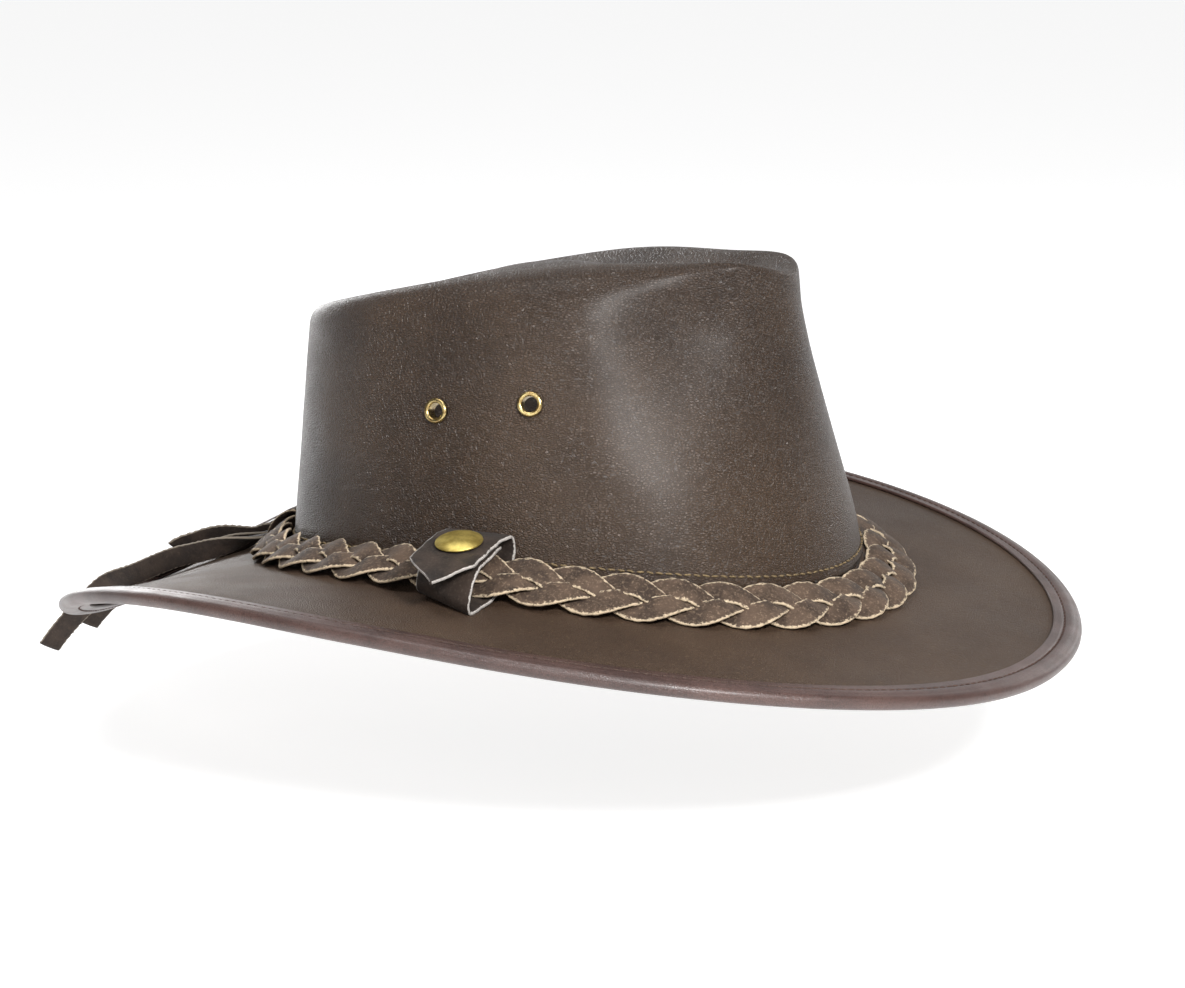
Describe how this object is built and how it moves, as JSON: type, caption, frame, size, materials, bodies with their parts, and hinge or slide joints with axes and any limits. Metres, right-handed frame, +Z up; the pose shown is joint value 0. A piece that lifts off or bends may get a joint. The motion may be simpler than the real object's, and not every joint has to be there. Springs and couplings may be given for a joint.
{
  "type": "leather bush hat",
  "caption": "Oiled leather hat with a creased crown, a bound brim, a plaited band with loose ends, a strap with a snap and vent eyelets.",
  "frame": {"origin": "centre of the head opening, where the crown meets the brim", "axes": "+X towards the wearer's front, +Y to the wearer's left, +Z up"},
  "size_m": [0.3971, 0.3164, 0.1707],
  "materials": {
    "crown_leather": "dark brown oiled leather, fine pebbled grain, soft grey sheen",
    "brim_leather": "dark brown oiled leather, smoother, slightly greener",
    "binding_leather": "dark purple-brown satin leather, stitched",
    "braid_leather": "brown leather with pale fuzzy cut edges",
    "dark_leather": "black-brown smooth leather with pale cut edges",
    "brass": "antique brass, lightly brushed"
  },
  "bodies": {
    "root": {"crown": "crown_leather", "brim": "brim_leather", "brim_binding": "binding_leather", "braid_strand_1": "braid_leather", "braid_strand_2": "braid_leather", "braid_strand_3": "braid_leather", "braid_wrap": "braid_leather", "tail_1": "braid_leather", "tail_2": "braid_leather", "tail_3": "braid_leather", "keeper_strap": "dark_leather", "snap_cap": "brass", "eyelet_right_back": "brass", "eyelet_right_front": "brass", "eyelet_left_back": "brass", "eyelet_left_front": "brass"}
  },
  "joints": []
}
